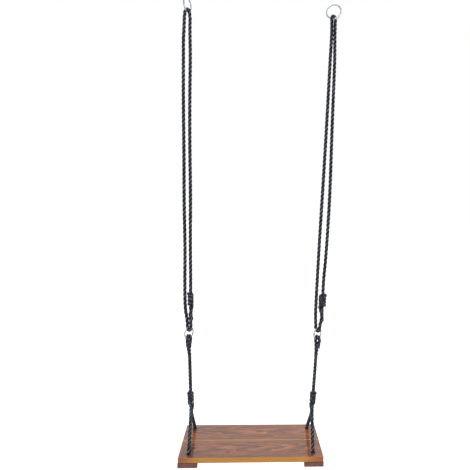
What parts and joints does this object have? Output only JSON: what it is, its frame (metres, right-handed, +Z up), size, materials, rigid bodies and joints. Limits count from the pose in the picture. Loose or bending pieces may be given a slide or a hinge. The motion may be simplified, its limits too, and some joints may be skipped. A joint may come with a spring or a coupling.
{
  "type": "rope swing seat",
  "caption": "Two-board wooden swing seat on black ropes with sliding wraps, hung from steel rings.",
  "frame": {"origin": "middle of the line on which the two hooks carry the top rings", "axes": "+Z up, +X to the right of a person facing the seat's front edge, -Y towards that person; the swing hangs down from the origin"},
  "size_m": [0.5962, 0.2, 1.6796],
  "materials": {
    "varnished_wood": "solid pine boards with orange-brown stain and gloss varnish",
    "black_rope": "three-strand twisted black polypropylene rope",
    "plated_rings": "welded round steel rings, bright zinc plated",
    "zinc_screws": "zinc plated countersunk wood screws"
  },
  "bodies": {
    "top_rings": {"left_top_ring": "plated_rings", "left_rope_turn": "black_rope", "right_top_ring": "plated_rings", "right_rope_turn": "black_rope"},
    "left_upper_rope": {"left_loop_leg": "black_rope", "left_wrap_leg": "black_rope", "left_adjuster_wrap": "black_rope", "left_rope_tail": "black_rope"},
    "right_upper_rope": {"right_loop_leg": "black_rope", "right_wrap_leg": "black_rope", "right_adjuster_wrap": "black_rope", "right_rope_tail": "black_rope"},
    "left_lower_ring": {"left_lower_ring": "plated_rings"},
    "right_lower_ring": {"right_lower_ring": "plated_rings"},
    "seat": {"front_board": "varnished_wood", "rear_board": "varnished_wood", "left_cleat": "varnished_wood", "left_cleat_screws": "zinc_screws", "left_seat_eye": "black_rope", "left_eye_splice": "black_rope", "left_seat_rope": "black_rope", "left_seat_wrap": "black_rope", "left_seat_sling": "black_rope", "right_cleat": "varnished_wood", "right_cleat_screws": "zinc_screws", "right_seat_eye": "black_rope", "right_eye_splice": "black_rope", "right_seat_rope": "black_rope", "right_seat_wrap": "black_rope", "right_seat_sling": "black_rope"}
  },
  "joints": [
    {"name": "left_rope_swing", "type": "hinge", "parent": "top_rings", "child": "left_upper_rope", "pos_m": [-0.274, 0, -0.09], "axis": [1, 0, 0], "range_deg": [-45, 45]},
    {"name": "right_rope_swing", "type": "hinge", "parent": "top_rings", "child": "right_upper_rope", "pos_m": [0.274, 0, -0.09], "axis": [1, 0, 0], "range_deg": [-45, 45]},
    {"name": "left_ring_tilt", "type": "hinge", "parent": "left_upper_rope", "child": "left_lower_ring", "pos_m": [-0.2375, 0, -1.217], "axis": [1, 0, 0], "range_deg": [-20, 20]},
    {"name": "right_ring_tilt", "type": "hinge", "parent": "right_upper_rope", "child": "right_lower_ring", "pos_m": [0.2375, 0, -1.217], "axis": [1, 0, 0], "range_deg": [-20, 20]},
    {"name": "seat_tilt", "type": "hinge", "parent": "left_lower_ring", "child": "seat", "pos_m": [-0.2375, 0, -1.257], "axis": [1, 0, 0], "range_deg": [-25, 25]}
  ],
  "couplings": [
    {"joint": "right_rope_swing", "follows": "left_rope_swing", "ratio": 1},
    {"joint": "right_ring_tilt", "follows": "left_ring_tilt", "ratio": 1}
  ]
}
